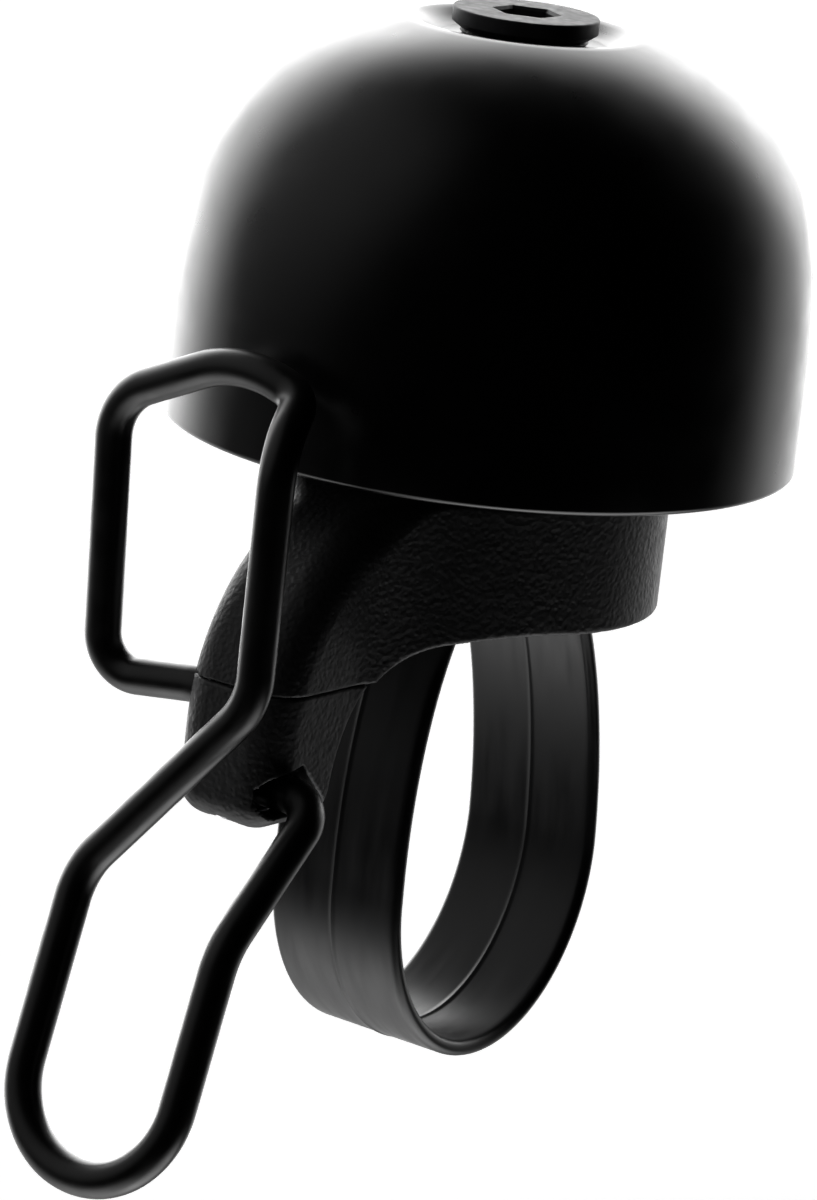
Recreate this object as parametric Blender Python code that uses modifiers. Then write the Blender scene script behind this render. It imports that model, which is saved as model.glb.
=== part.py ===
"""Bicycle bell with a spring-wire striker lever and a handlebar strap.

Metres, +Z up.  The origin is the centre of the flat seat under the base, where the
bell stands on the handlebar.  The handlebar runs along X, +Z is the dome's axis, and
the lever is on the -Y side.
"""

import math

import bmesh
import bpy
from mathutils import Matrix, Vector

MM = 0.001
GAP = 0.3 * MM                 # clearance between pieces that rest on each other
FINE_GAP = 0.1 * MM            # clearance between the thin pieces of the screw stack
OVERCUT = 1.0 * MM             # how far a cutter runs past the face it cuts

# Dome: a superellipse turned about Z, with a flat seat for the screw in its crown.
RIM_Z = 11.0 * MM
DOME_RADIUS = 23.0 * MM
DOME_RISE = 30.9 * MM
DOME_WALL = 1.3 * MM
DOME_SHOULDER = 2.4            # superellipse exponent across
DOME_CROWN = 3.9               # superellipse exponent upwards
DOME_STEPS = 22
DOME_STEP_BIAS = 1.3           # packs the profile's points towards the rim
DOME_TURN_STEPS = 56
SEAT_RADIUS = 5.9 * MM
SEAT_DEPTH = 1.75 * MM
SEAT_BLEND_RADIUS = 8.6 * MM
DOME_HOLE_RADIUS = 4.2 * MM

# Screw stack on the dome's axis.
SCREW_RADIUS = 2.95 * MM
SCREW_END_Z = 4.6 * MM
HEAD_RADIUS = 5.25 * MM
HEAD_HEIGHT = 1.45 * MM
HEAD_CHAMFER = 0.35 * MM
HEX_ACROSS_FLATS = 4.0 * MM
HEX_DEPTH = 1.05 * MM
HEAD_WASHER_RADIUS = 4.6 * MM
HEAD_WASHER_HEIGHT = 0.35 * MM
GROMMET_FLANGE_RADIUS = 6.2 * MM
GROMMET_FLANGE_HEIGHT = 1.0 * MM
POST_WASHER_RADIUS = 5.8 * MM
POST_WASHER_HEIGHT = 0.8 * MM
SLEEVE_RADIUS = 4.6 * MM
BORE_RADIUS = SCREW_RADIUS + GAP

# Body: a round base with a guide tower, and an arm that arches down to the lever block.
BASE_RADIUS = 14.4 * MM
BASE_TOP_Z = 9.3 * MM
ARM_HALF_WIDTH = 4.65 * MM
ARM_FRONT_Y = -26.95 * MM
ARM_SHOULDER_Y = -10.0 * MM    # where the arm's back starts to fall
ARM_SHOULDER_DROP = 17.0 * MM
ARM_FILLET = 8.0 * MM          # concave, between the base and the arm
FRONT_EDGE_RADIUS = 2.4 * MM
ARCH_RADIUS = 12.6 * MM
ARCH_CENTRE_Y = -6.6 * MM
KEEPER_STEP = 0.4 * MM         # the keeper's inner face stands back from the arm's
BLOCK_BOTTOM_Z = -13.9 * MM
BLOCK_BOTTOM_RADIUS = 2.0 * MM
SEAM_Z = -4.0 * MM
SEAM_GAP = 0.12 * MM

# Guide tower and the clamp carriage that climbs in it.
TOWER_RADIUS = 12.9 * MM
TOWER_TOP_Z = 20.0 * MM
FLOOR_HEIGHT = 2.2 * MM
CARRIAGE_HALF_X = 5.7 * MM
CARRIAGE_HALF_Y = 9.3 * MM
CARRIAGE_LOW_Z = 3.0 * MM
CARRIAGE_TOP_Z = 15.6 * MM
CARRIAGE_CLEARANCE = 0.4 * MM
CAP_HEIGHT = 2.0 * MM
CAP_INSET = 0.4 * MM           # the cap's edge stands inside the tower's
SPIGOT_HEIGHT = 1.2 * MM
NUT_ACROSS_FLATS = 10.0 * MM
NUT_LOW_Z = 8.7 * MM
NUT_HEIGHT = 4.6 * MM

# Strap: a flexible band whose loop takes a 22.2 mm handlebar with slack.
STRAP_THICKNESS = 1.2 * MM
STRAP_HALF_WIDTH = 5.75 * MM
STRAP_INNER_RADIUS = 11.3 * MM
STRAP_ROOT_HALF_SPACING = 6.4 * MM
STRAP_CENTRE_Z = -20.7 * MM
STRAP_LOWER_RISE = 12.9 * MM
STRAP_LEAN = math.radians(2.8)
EYE_RADIUS = 1.9 * MM
EYE_HALF_WIDTH = 3.3 * MM
EYE_Z = 4.8 * MM
PIN_RADIUS = 0.9 * MM
PIN_CLEARANCE = 0.12 * MM      # the pins are pressed into the carriage
EYE_CLEARANCE = 0.2 * MM       # the strap's eyes turn on the pins
PIN_INSET = 0.2 * MM           # the pins end inside the carriage's sides
EYE_NOTCH_REACH = 3.0 * MM
SLOT_CLEARANCE = 0.45 * MM

# Lever: one bent wire whose ends sit in the block at two heights.
WIRE_RADIUS = 1.325 * MM
PIVOT_Y = -23.5 * MM
PIVOT_Z = -5.45 * MM
TAIL_Z = -11.2 * MM
WIRE_END_X = 1.55 * MM
PADDLE_HALF_WIDTH = 6.8 * MM
LEVER_SWING_BACK = math.radians(2.4)
LEVER_SWING_OUT = math.radians(11.0)
WIRE_CLEARANCE = 0.15 * MM
BEND_STEP = math.radians(15)   # turn between two points of a bend

# Screw that holds the keeper up against the arm.
KEEPER_SCREW_RADIUS = 1.1 * MM
KEEPER_SCREW_LENGTH = 12.0 * MM
KEEPER_HEAD_RADIUS = 1.9 * MM
KEEPER_HEAD_HEIGHT = 1.0 * MM
KEEPER_HEAD_DEPTH = 1.15 * MM
KEEPER_HEAD_CHAMFER = 0.4 * MM
KEEPER_HEAD_CLEARANCE = 0.25 * MM
KEEPER_SHANK_CLEARANCE = 0.2 * MM
KEEPER_TIP_LENGTH = 1.5 * MM
CROSS_SLOT_HALF_WIDTH = 0.3 * MM
CROSS_SLOT_REACH = 1.2 * MM
CROSS_SLOT_DEPTH = 0.6 * MM
PEG_RADIUS = 0.7 * MM
PEG_HEIGHT = 2.0 * MM
PEG_OFFSET = 2.9 * MM
PEG_CLEARANCE = 0.15 * MM

# Pointed recess round the hole that the wire's tail comes out of.
TAIL_RECESS_RADIUS = 2.9 * MM
TAIL_RECESS_DEPTH = 1.1 * MM
TAIL_RECESS_SHIFT = 0.6 * MM   # towards the handlebar

parts = bpy.data.collections.new("bicycle_bell")
cutters = bpy.data.collections.new("cutters")


def clear_scene():
    for old in list(bpy.data.objects):
        bpy.data.objects.remove(old, do_unlink=True)
    bpy.context.scene.collection.children.link(parts)
    bpy.context.scene.collection.children.link(cutters)


def material(name, colour, roughness, metallic=0.0):
    made = bpy.data.materials.new(name)
    made.use_nodes = True
    shader = made.node_tree.nodes["Principled BSDF"]
    shader.inputs["Base Color"].default_value = (*colour, 1.0)
    shader.inputs["Roughness"].default_value = roughness
    shader.inputs["Metallic"].default_value = metallic
    return made


def add_object(name, mesh, collection, paint=None):
    made = bpy.data.objects.new(name, mesh)
    collection.objects.link(made)
    if paint:
        mesh.materials.clear()
        mesh.materials.append(paint)
    return made


def smooth(item, angle=35.0):
    item.data.shade_smooth()
    item.data.set_sharp_from_angle(angle=math.radians(angle))
    return item


def apply_modifiers(item):
    """Replace the object's mesh by what its modifiers make of it."""
    graph = bpy.context.evaluated_depsgraph_get()
    made = bpy.data.meshes.new_from_object(item.evaluated_get(graph))
    item.modifiers.clear()
    item.data = made
    return item


def weld(mesh):
    work = bmesh.new()
    work.from_mesh(mesh)
    bmesh.ops.remove_doubles(work, verts=work.verts, dist=1e-7)
    bmesh.ops.recalc_face_normals(work, faces=work.faces)
    work.to_mesh(mesh)
    work.free()


def curve_to_mesh(item):
    """Turn a curve object into a mesh object of the same name and place."""
    graph = bpy.context.evaluated_depsgraph_get()
    mesh = bpy.data.meshes.new_from_object(item.evaluated_get(graph))
    weld(mesh)
    name = item.name
    place = item.matrix_world.copy()
    home = item.users_collection[0]
    bpy.data.objects.remove(item, do_unlink=True)
    made = add_object(name, mesh, home)
    made.matrix_world = place
    return made


def turned(name, outline, steps, paint):
    """A closed (radius, z) outline, run down its outer side, turned about Z."""
    mesh = bpy.data.meshes.new(name)
    points = [(radius, 0.0, z) for radius, z in outline]
    edges = [(i, (i + 1) % len(points)) for i in range(len(points))]
    mesh.from_pydata(points, edges, [])
    made = add_object(name, mesh, parts, paint)
    screw = made.modifiers.new("turn", "SCREW")
    screw.steps = steps
    screw.render_steps = steps
    screw.use_merge_vertices = True
    screw.merge_threshold = 1e-6
    apply_modifiers(made)
    return smooth(made)


def ring(name, inner, outer, low, high, steps, paint):
    outline = [(inner, high), (outer, high), (outer, low), (inner, low)]
    return turned(name, outline, steps, paint)


def prism(name, outline, half_thickness):
    """A flat closed outline in the local XY plane, thickened along local Z."""
    curve = bpy.data.curves.new(name, "CURVE")
    curve.dimensions = "2D"
    curve.fill_mode = "BOTH"
    curve.extrude = half_thickness
    line = curve.splines.new("POLY")
    line.points.add(len(outline) - 1)
    for point, (u, v) in zip(line.points, outline):
        point.co = (u, v, 0.0, 1.0)
    line.use_cyclic_u = True
    made = add_object(name, curve, cutters)
    bpy.context.view_layer.update()
    return made


def side_prism(name, outline, half_width):
    """An outline in the (y, z) plane, thickened along X."""
    made = prism(name, outline, half_width)
    made.rotation_euler = (math.pi / 2, 0.0, math.pi / 2)
    bpy.context.view_layer.update()
    return curve_to_mesh(made)


def plan_prism(name, outline, low, high):
    """An outline in the (x, y) plane, from low to high."""
    made = prism(name, outline, (high - low) / 2)
    made.location.z = (low + high) / 2
    bpy.context.view_layer.update()
    return curve_to_mesh(made)


def box(name, low, high):
    bpy.ops.mesh.primitive_cube_add(size=1.0)
    made = bpy.context.object
    made.name = name
    for home in list(made.users_collection):
        home.objects.unlink(made)
    cutters.objects.link(made)
    centre = [(a + b) / 2 for a, b in zip(low, high)]
    size = [b - a for a, b in zip(low, high)]
    for vertex in made.data.vertices:
        vertex.co = [c + s * v for c, s, v in zip(centre, size, vertex.co)]
    return made


def rod(name, start, end, radius, sides=24):
    """A cylinder, or a prism with few sides, between two points."""
    run = Vector(end) - Vector(start)
    bpy.ops.mesh.primitive_cylinder_add(vertices=sides, radius=radius, depth=run.length)
    made = bpy.context.object
    made.name = name
    for home in list(made.users_collection):
        home.objects.unlink(made)
    cutters.objects.link(made)
    aim = Vector((0, 0, 1)).rotation_difference(run).to_matrix().to_4x4()
    centre = Matrix.Translation((Vector(start) + Vector(end)) / 2)
    made.data.transform(centre @ aim)
    return made


def combine(item, tools, operation):
    """Join, cut or intersect an object with each tool in turn."""
    for tool in tools:
        step = item.modifiers.new(tool.name, "BOOLEAN")
        step.operation = operation
        step.solver = "EXACT"
        step.object = tool
        apply_modifiers(item)
        tool.hide_render = True
        tool.display_type = "WIRE"
    return item


def move_to_parts(item, name, paint, angle=35.0):
    """Bake a worked solid's place into its mesh and file it among the parts."""
    item.data.transform(item.matrix_world)
    item.matrix_world = Matrix.Identity(4)
    for home in list(item.users_collection):
        home.objects.unlink(item)
    parts.objects.link(item)
    item.name = name
    item.data.name = name
    item.hide_render = False
    item.display_type = "TEXTURED"
    item.data.materials.clear()
    item.data.materials.append(paint)
    return smooth(item, angle)


def arc(centre, radius, start, end, steps, radius_v=None):
    """Points of a circular or elliptical arc, angles in degrees."""
    other = radius if radius_v is None else radius_v
    points = []
    for step in range(steps + 1):
        angle = math.radians(start + (end - start) * step / steps)
        points.append((centre[0] + radius * math.cos(angle), centre[1] + other * math.sin(angle)))
    return points


# ---------------------------------------------------------------- dome and its screw

def superellipse(radius, rise, turn):
    """A point of the dome's profile; turn runs from 0 at the rim to 1 at the axis."""
    angle = turn * math.pi / 2
    across = radius * math.cos(angle) ** (2 / DOME_SHOULDER)
    return across, RIM_Z + rise * math.sin(angle) ** (2 / DOME_CROWN)


def dome_curve(radius, rise):
    """The dome's profile from the seat in the crown down to the rim."""
    points = [(SEAT_RADIUS, RIM_Z + rise - SEAT_DEPTH)]
    for step in range(DOME_STEPS, -1, -1):
        turn = (step / DOME_STEPS) ** DOME_STEP_BIAS
        across, z = superellipse(radius, rise, turn)
        if across > SEAT_BLEND_RADIUS:
            points.append((across, z))
    return points


def make_dome(paint):
    outer = dome_curve(DOME_RADIUS, DOME_RISE)
    inner = dome_curve(DOME_RADIUS - DOME_WALL, DOME_RISE - DOME_WALL)
    hole_top = (DOME_HOLE_RADIUS, outer[0][1])
    hole_low = (DOME_HOLE_RADIUS, inner[0][1])
    outline = [hole_top] + outer + inner[::-1] + [hole_low]
    return turned("bell_dome", outline, DOME_TURN_STEPS, paint)


def seat_z():
    return RIM_Z + DOME_RISE - SEAT_DEPTH


def crown_under_z():
    return seat_z() - DOME_WALL


def head_low_z():
    return seat_z() + HEAD_WASHER_HEIGHT + 2 * FINE_GAP


def make_dome_screw(paint):
    low = head_low_z()
    top = low + HEAD_HEIGHT
    outline = [
        (0.0, top),
        (HEAD_RADIUS - HEAD_CHAMFER, top),
        (HEAD_RADIUS, top - HEAD_CHAMFER),
        (HEAD_RADIUS, low + 2 * HEAD_CHAMFER),
        (HEAD_RADIUS - 2 * HEAD_CHAMFER, low),
        (SCREW_RADIUS, low),
        (SCREW_RADIUS, SCREW_END_Z + HEAD_CHAMFER),
        (SCREW_RADIUS - HEAD_CHAMFER, SCREW_END_Z),
        (0.0, SCREW_END_Z),
    ]
    screw = turned("dome_screw", outline, 32, paint)
    weld(screw.data)
    corner = HEX_ACROSS_FLATS / 2 / math.cos(math.pi / 6)
    socket = rod("hex_socket", (0, 0, top - HEX_DEPTH), (0, 0, top + OVERCUT), corner, 6)
    combine(screw, [socket], "DIFFERENCE")
    return smooth(screw)


def make_head_washer(paint):
    low = seat_z() + FINE_GAP
    high = low + HEAD_WASHER_HEIGHT
    return ring("head_washer", BORE_RADIUS, HEAD_WASHER_RADIUS, low, high, 32, paint)


def make_grommet(paint):
    """A top-hat bush: its collar centres the dome, its flange carries it."""
    collar_top = seat_z() - FINE_GAP
    flange_top = crown_under_z() - GAP
    collar = DOME_HOLE_RADIUS - GAP
    outline = [
        (BORE_RADIUS, collar_top),
        (collar, collar_top),
        (collar, flange_top),
        (GROMMET_FLANGE_RADIUS, flange_top),
        (GROMMET_FLANGE_RADIUS, flange_top - GROMMET_FLANGE_HEIGHT),
        (BORE_RADIUS, flange_top - GROMMET_FLANGE_HEIGHT),
    ]
    return turned("dome_grommet", outline, 32, paint)


def make_post(steel, alloy):
    washer_top = crown_under_z() - 2 * GAP - GROMMET_FLANGE_HEIGHT
    washer_low = washer_top - POST_WASHER_HEIGHT
    ring("post_washer", BORE_RADIUS, POST_WASHER_RADIUS, washer_low, washer_top, 32, steel)
    sleeve_low = TOWER_TOP_Z + GAP + CAP_HEIGHT + GAP
    ring("post_sleeve", BORE_RADIUS, SLEEVE_RADIUS, sleeve_low, washer_low - GAP, 32, alloy)


def make_guide_cap(paint):
    """The lid of the guide tower, with a spigot that centres it in the cavity."""
    low = TOWER_TOP_Z + GAP
    cap = rod("guide_cap", (0, 0, low), (0, 0, low + CAP_HEIGHT), TOWER_RADIUS - CAP_INSET, 40)
    half_x = CARRIAGE_HALF_X
    half_y = CARRIAGE_HALF_Y
    spigot_low = (-half_x, -half_y, low - SPIGOT_HEIGHT)
    spigot = box("cap_spigot", spigot_low, (half_x, half_y, low + CAP_HEIGHT / 2))
    combine(cap, [spigot], "UNION")
    bore_low = (0, 0, low - SPIGOT_HEIGHT - OVERCUT)
    bore = rod("cap_bore", bore_low, (0, 0, low + CAP_HEIGHT + OVERCUT), BORE_RADIUS)
    combine(cap, [bore], "DIFFERENCE")
    return move_to_parts(cap, "guide_cap", paint)


# ---------------------------------------------------------------- clamp carriage

def make_carriage(paint):
    low = CARRIAGE_LOW_Z
    top = CARRIAGE_TOP_Z
    corner = (CARRIAGE_HALF_X, CARRIAGE_HALF_Y, top)
    body = box("clamp_carriage", (-CARRIAGE_HALF_X, -CARRIAGE_HALF_Y, low), corner)
    bore = rod("carriage_bore", (0, 0, low - OVERCUT), (0, 0, top + OVERCUT), BORE_RADIUS)
    half_nut = NUT_ACROSS_FLATS / 2 / math.cos(math.pi / 6) + GAP
    closed_x = -NUT_ACROSS_FLATS / 2 - GAP
    nut_low = NUT_LOW_Z - GAP
    nut_top = NUT_LOW_Z + NUT_HEIGHT + GAP
    beyond_x = CARRIAGE_HALF_X + OVERCUT
    slot = box("nut_slot", (closed_x, -half_nut, nut_low), (beyond_x, half_nut, nut_top))
    tools = [bore, slot]
    pocket_top = EYE_Z + EYE_RADIUS + GAP
    eye_y = STRAP_ROOT_HALF_SPACING + STRAP_THICKNESS / 2
    for side in (-1, 1):
        near = side * (eye_y - EYE_RADIUS - GAP)
        far = side * (CARRIAGE_HALF_Y + OVERCUT)
        y_low, y_high = sorted((near, far))
        reach = EYE_HALF_WIDTH + GAP
        pocket_low = (-reach, y_low, low - OVERCUT)
        tools.append(box("eye_pocket", pocket_low, (reach, y_high, pocket_top)))
        start = (-beyond_x, side * eye_y, EYE_Z)
        end = (beyond_x, side * eye_y, EYE_Z)
        tools.append(rod("pin_hole", start, end, PIN_RADIUS + PIN_CLEARANCE, 16))
    combine(body, tools, "DIFFERENCE")
    return move_to_parts(body, "clamp_carriage", paint)


def make_clamp_nut(paint):
    corner = NUT_ACROSS_FLATS / 2 / math.cos(math.pi / 6)
    top = NUT_LOW_Z + NUT_HEIGHT
    nut = rod("clamp_nut", (0, 0, NUT_LOW_Z), (0, 0, top), corner, sides=6)
    bore = rod("nut_bore", (0, 0, NUT_LOW_Z - OVERCUT), (0, 0, top + OVERCUT), BORE_RADIUS)
    combine(nut, [bore], "DIFFERENCE")
    return move_to_parts(nut, "clamp_nut", paint)


def make_strap_pins(paint):
    eye_y = STRAP_ROOT_HALF_SPACING + STRAP_THICKNESS / 2
    reach = CARRIAGE_HALF_X - PIN_INSET
    for name, side in (("strap_pin_front", -1), ("strap_pin_rear", 1)):
        y = side * eye_y
        pin = rod(name, (-reach, y, EYE_Z), (reach, y, EYE_Z), PIN_RADIUS, 16)
        move_to_parts(pin, name, paint)


# ---------------------------------------------------------------- strap

def strap_centreline(steps=22):
    """The loop from the front root round under the handlebar to the rear root."""
    half = STRAP_THICKNESS / 2
    across = STRAP_INNER_RADIUS + half
    root = STRAP_ROOT_HALF_SPACING + half
    root_angle = math.acos(root / across)
    upper_rise = -STRAP_CENTRE_Z / math.sin(root_angle)
    points = []
    for step in range(steps + 1):
        angle = math.pi - root_angle + (math.pi + 2 * root_angle) * step / steps
        rise = upper_rise if math.sin(angle) > 0 else STRAP_LOWER_RISE + half
        y = across * math.cos(angle)
        z = STRAP_CENTRE_Z + rise * math.sin(angle)
        blend = min(1.0, z / STRAP_CENTRE_Z)
        points.append((y - STRAP_CENTRE_Z * math.tan(STRAP_LEAN) * blend, z))
    return points


def offset_line(points, distance):
    """Shift an open line sideways by a distance."""
    shifted = []
    for i, (u, v) in enumerate(points):
        before = points[max(i - 1, 0)]
        after = points[min(i + 1, len(points) - 1)]
        run = Vector((after[0] - before[0], after[1] - before[1])).normalized()
        shifted.append((u - run.y * distance, v + run.x * distance))
    return shifted


def make_strap(paint):
    root = STRAP_ROOT_HALF_SPACING + STRAP_THICKNESS / 2
    line = [(-root, EYE_Z)] + strap_centreline() + [(root, EYE_Z)]
    half = STRAP_THICKNESS / 2
    outline = offset_line(line, half) + offset_line(line, -half)[::-1]
    band = side_prism("clamp_strap", outline, STRAP_HALF_WIDTH)
    eyes = []
    trims = []
    for side in (-1, 1):
        y = side * root
        low_x = (-EYE_HALF_WIDTH, y, EYE_Z)
        high_x = (EYE_HALF_WIDTH, y, EYE_Z)
        eyes.append(rod("strap_eye", low_x, high_x, EYE_RADIUS, 20))
        reach = STRAP_HALF_WIDTH + OVERCUT
        hole_radius = PIN_RADIUS + EYE_CLEARANCE
        trims.append(rod("eye_hole", (-reach, y, EYE_Z), (reach, y, EYE_Z), hole_radius, 16))
        for hand in (-1, 1):
            x_low, x_high = sorted((hand * EYE_HALF_WIDTH, hand * reach))
            notch_low = (x_low, y - EYE_NOTCH_REACH, FLOOR_HEIGHT - CARRIAGE_CLEARANCE)
            notch_high = (x_high, y + EYE_NOTCH_REACH, EYE_Z + EYE_NOTCH_REACH)
            trims.append(box("eye_notch", notch_low, notch_high))
    combine(band, eyes, "UNION")
    combine(band, trims, "DIFFERENCE")
    return move_to_parts(band, "clamp_strap", paint)


# ---------------------------------------------------------------- body and keeper

def side_outline(step_back):
    """Base, arm and lever block seen from the side, as (y, z) points."""
    low = BLOCK_BOTTOM_Z
    inner_y = ARCH_CENTRE_Y - ARCH_RADIUS - step_back
    back_y = BASE_RADIUS + OVERCUT
    shoulder = (ARM_SHOULDER_Y, BASE_TOP_Z - ARM_SHOULDER_DROP)
    reach = ARM_SHOULDER_Y - ARM_FRONT_Y
    corner = (ARM_FRONT_Y + BLOCK_BOTTOM_RADIUS, low + BLOCK_BOTTOM_RADIUS)
    points = [(back_y, 0.0), (back_y, BASE_TOP_Z)]
    points += arc(shoulder, reach, 90, 180, 14, ARM_SHOULDER_DROP)
    points += arc(corner, BLOCK_BOTTOM_RADIUS, 180, 270, 4)
    points += [(inner_y, low)]
    points += arc((ARCH_CENTRE_Y, -ARCH_RADIUS), ARCH_RADIUS + step_back, 180, 90, 14, ARCH_RADIUS)
    return points


def plan_outline():
    """Base disc, concave fillets and arm seen from above, as (x, y) points."""
    fillet_x = ARM_HALF_WIDTH + ARM_FILLET
    fillet_y = math.sqrt((BASE_RADIUS + ARM_FILLET) ** 2 - fillet_x ** 2)
    tangent = math.degrees(math.atan2(fillet_y, fillet_x))
    corner_x = ARM_HALF_WIDTH - FRONT_EDGE_RADIUS
    corner = (corner_x, ARM_FRONT_Y + FRONT_EDGE_RADIUS)
    right = arc((0, 0), BASE_RADIUS, 90, -tangent, 22)
    right += arc((fillet_x, -fillet_y), ARM_FILLET, 180 - tangent, 180, 6)
    right += arc(corner, FRONT_EDGE_RADIUS, 0, -90, 5)
    left = [(-x, y) for x, y in reversed(right[1:])]
    return right + left


def arm_solid(name, low, high, step_back=0.0):
    """The slice of base, arm and block between two heights."""
    solid = plan_prism(name, plan_outline(), low, high)
    profile = side_prism(name + "_profile", side_outline(step_back), BASE_RADIUS + OVERCUT)
    return combine(solid, [profile], "INTERSECT")


def body_cutters():
    """The cavity for the carriage, the strap's two slots, and the keeper's holes."""
    half_x = CARRIAGE_HALF_X + CARRIAGE_CLEARANCE
    half_y = CARRIAGE_HALF_Y + CARRIAGE_CLEARANCE
    cavity_top = (half_x, half_y, TOWER_TOP_Z + OVERCUT)
    tools = [box("cavity", (-half_x, -half_y, FLOOR_HEIGHT), cavity_top)]
    slot_x = STRAP_HALF_WIDTH + SLOT_CLEARANCE
    near = STRAP_ROOT_HALF_SPACING - SLOT_CLEARANCE
    far = STRAP_ROOT_HALF_SPACING + STRAP_THICKNESS + 4 * SLOT_CLEARANCE
    for side in (-1, 1):
        y_low, y_high = sorted((side * near, side * far))
        slot_low = (-slot_x, y_low, -OVERCUT)
        tools.append(box("strap_slot", slot_low, (slot_x, y_high, FLOOR_HEIGHT + OVERCUT)))
    top = BLOCK_BOTTOM_Z + KEEPER_HEAD_DEPTH + KEEPER_SCREW_LENGTH + GAP
    low_end = (0, PIVOT_Y, SEAM_Z - OVERCUT)
    pilot_radius = KEEPER_SCREW_RADIUS + FINE_GAP
    tools.append(rod("pilot_hole", low_end, (0, PIVOT_Y, top), pilot_radius, 16))
    peg_y = PIVOT_Y + PEG_OFFSET
    start = (0, peg_y, SEAM_Z - OVERCUT)
    end = (0, peg_y, SEAM_Z + PEG_HEIGHT + GAP)
    tools.append(rod("peg_hole", start, end, PEG_RADIUS + PEG_CLEARANCE, 12))
    return tools


def make_body(paint):
    body = arm_solid("bell_body", SEAM_Z, BASE_TOP_Z)
    tower_low = (0, 0, BASE_TOP_Z - OVERCUT)
    tower = rod("guide_tower", tower_low, (0, 0, TOWER_TOP_Z), TOWER_RADIUS, 40)
    combine(body, [tower], "UNION")
    combine(body, body_cutters(), "DIFFERENCE")
    return move_to_parts(body, "bell_body", paint, 28.0)


def swung(point, angle):
    """A point (y, z) of the lever after it turns about its pivot."""
    y = point[0] - PIVOT_Y
    z = point[1] - PIVOT_Z
    return (
        PIVOT_Y + y * math.cos(angle) - z * math.sin(angle),
        PIVOT_Z + y * math.sin(angle) + z * math.cos(angle),
    )


def keeper_cutters():
    """The open groove for the pivot, the slot for the wire's tail, and the screw hole."""
    beyond = ARM_HALF_WIDTH + OVERCUT
    groove_radius = WIRE_RADIUS + WIRE_CLEARANCE
    depth_x = -WIRE_END_X + GAP
    start = (-beyond, PIVOT_Y, PIVOT_Z)
    tools = [rod("pivot_groove", start, (depth_x, PIVOT_Y, PIVOT_Z), groove_radius, 24)]
    groove_low = (-beyond, PIVOT_Y - groove_radius, PIVOT_Z)
    groove_high = (depth_x, PIVOT_Y + groove_radius, SEAM_Z + OVERCUT)
    tools.append(box("groove_mouth", groove_low, groove_high))
    back = swung((PIVOT_Y, TAIL_Z), -LEVER_SWING_BACK)
    out = swung((PIVOT_Y, TAIL_Z), LEVER_SWING_OUT)
    tail_radius = WIRE_RADIUS + 2 * WIRE_CLEARANCE
    for name, place in (("tail_back", back), ("tail_rest", (PIVOT_Y, TAIL_Z)), ("tail_out", out)):
        near = (-depth_x, place[0], place[1])
        tools.append(rod(name, near, (beyond, place[0], place[1]), tail_radius, 24))
    slot_low = (-depth_x, back[0], TAIL_Z - tail_radius)
    tools.append(box("tail_slot", slot_low, (beyond, out[0], TAIL_Z + tail_radius)))
    recess_y = PIVOT_Y + TAIL_RECESS_SHIFT
    recess_start = (ARM_HALF_WIDTH - TAIL_RECESS_DEPTH, recess_y, TAIL_Z)
    recess_end = (beyond, recess_y, TAIL_Z)
    tools.append(rod("tail_recess", recess_start, recess_end, TAIL_RECESS_RADIUS, 4))
    low = BLOCK_BOTTOM_Z
    step = (0, PIVOT_Y, low + KEEPER_HEAD_DEPTH)
    recess_radius = KEEPER_HEAD_RADIUS + KEEPER_HEAD_CLEARANCE
    tools.append(rod("head_recess", (0, PIVOT_Y, low - OVERCUT), step, recess_radius, 20))
    shank = KEEPER_SCREW_RADIUS + KEEPER_SHANK_CLEARANCE
    shank_top = (0, PIVOT_Y, SEAM_Z + OVERCUT)
    tools.append(rod("shank_hole", (0, PIVOT_Y, low), shank_top, shank, 16))
    return tools


def make_keeper(paint):
    low = BLOCK_BOTTOM_Z - OVERCUT
    keeper = arm_solid("lever_keeper", low, SEAM_Z - SEAM_GAP, KEEPER_STEP)
    peg_y = PIVOT_Y + PEG_OFFSET
    start = (0, peg_y, SEAM_Z - PEG_HEIGHT)
    peg = rod("locating_peg", start, (0, peg_y, SEAM_Z + PEG_HEIGHT), PEG_RADIUS, 12)
    combine(keeper, [peg], "UNION")
    combine(keeper, keeper_cutters(), "DIFFERENCE")
    return move_to_parts(keeper, "lever_keeper", paint, 28.0)


def make_keeper_screw(paint):
    """A pan-head self-tapping screw, driven up from under the block."""
    head_top = BLOCK_BOTTOM_Z + KEEPER_HEAD_DEPTH - FINE_GAP
    head_low = head_top - KEEPER_HEAD_HEIGHT
    tip = BLOCK_BOTTOM_Z + KEEPER_HEAD_DEPTH + KEEPER_SCREW_LENGTH - GAP
    outline = [
        (0.0, tip),
        (KEEPER_SCREW_RADIUS * 0.4, tip),
        (KEEPER_SCREW_RADIUS, tip - KEEPER_TIP_LENGTH),
        (KEEPER_SCREW_RADIUS, head_top),
        (KEEPER_HEAD_RADIUS, head_top),
        (KEEPER_HEAD_RADIUS, head_low + KEEPER_HEAD_CHAMFER),
        (KEEPER_HEAD_RADIUS - KEEPER_HEAD_CHAMFER, head_low),
        (0.0, head_low),
    ]
    screw = turned("keeper_screw", outline, 20, paint)
    weld(screw.data)
    screw.location.y = PIVOT_Y
    half = CROSS_SLOT_HALF_WIDTH
    reach = CROSS_SLOT_REACH
    bpy.context.view_layer.update()
    slots = []
    for x, y in ((half, reach), (reach, half)):
        low = (-x, PIVOT_Y - y, head_low - OVERCUT)
        slots.append(box("cross_slot", low, (x, PIVOT_Y + y, head_low + CROSS_SLOT_DEPTH)))
    combine(screw, slots, "DIFFERENCE")
    return smooth(screw)


# ---------------------------------------------------------------- lever wire

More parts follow.
